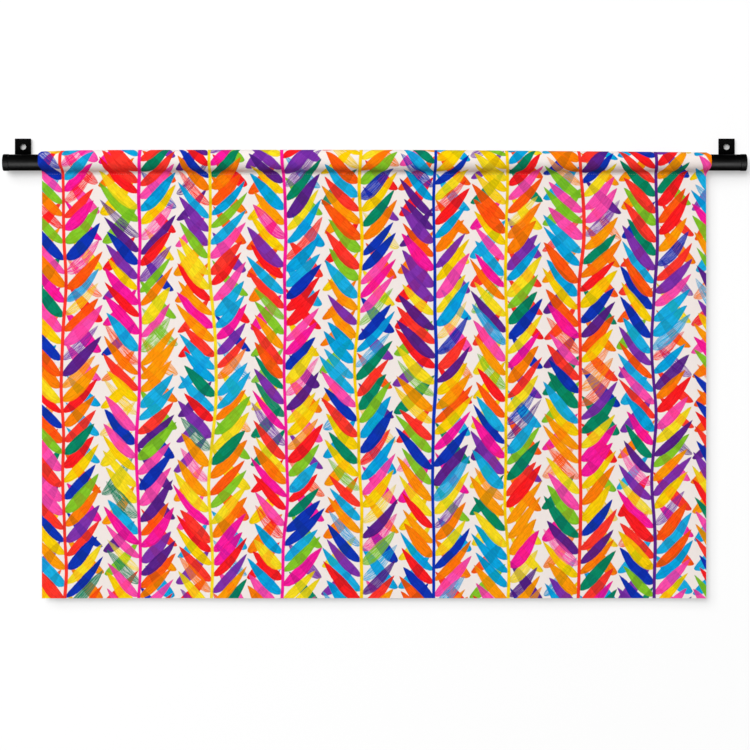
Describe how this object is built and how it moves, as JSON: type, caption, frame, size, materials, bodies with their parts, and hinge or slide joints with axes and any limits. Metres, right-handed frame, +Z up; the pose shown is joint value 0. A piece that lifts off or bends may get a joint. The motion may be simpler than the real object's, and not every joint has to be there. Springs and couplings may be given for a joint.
{
  "type": "printed wall tapestry and hanging rod",
  "caption": "Printed cloth with a sewn sleeve along its top, hung nearly flat on a capped black rod that perforated wall hangers carry.",
  "frame": {"origin": "on the wall, midway between the centres of the hanging holes", "axes": "+X along the rod to the viewer's right, +Y into the wall, +Z up"},
  "size_m": [1.0074, 0.0314, 0.6245],
  "materials": {
    "printed_cloth": "matte woven polyester with a many-coloured print",
    "rod_paint": "satin black paint",
    "cap_plastic": "black moulded plastic",
    "hanger_paint": "matte black powder coat"
  },
  "bodies": {
    "root": {"cloth": "printed_cloth", "rod": "rod_paint", "cap_left": "cap_plastic", "cap_right": "cap_plastic", "hanger_left": "hanger_paint", "hanger_right": "hanger_paint"}
  },
  "joints": []
}
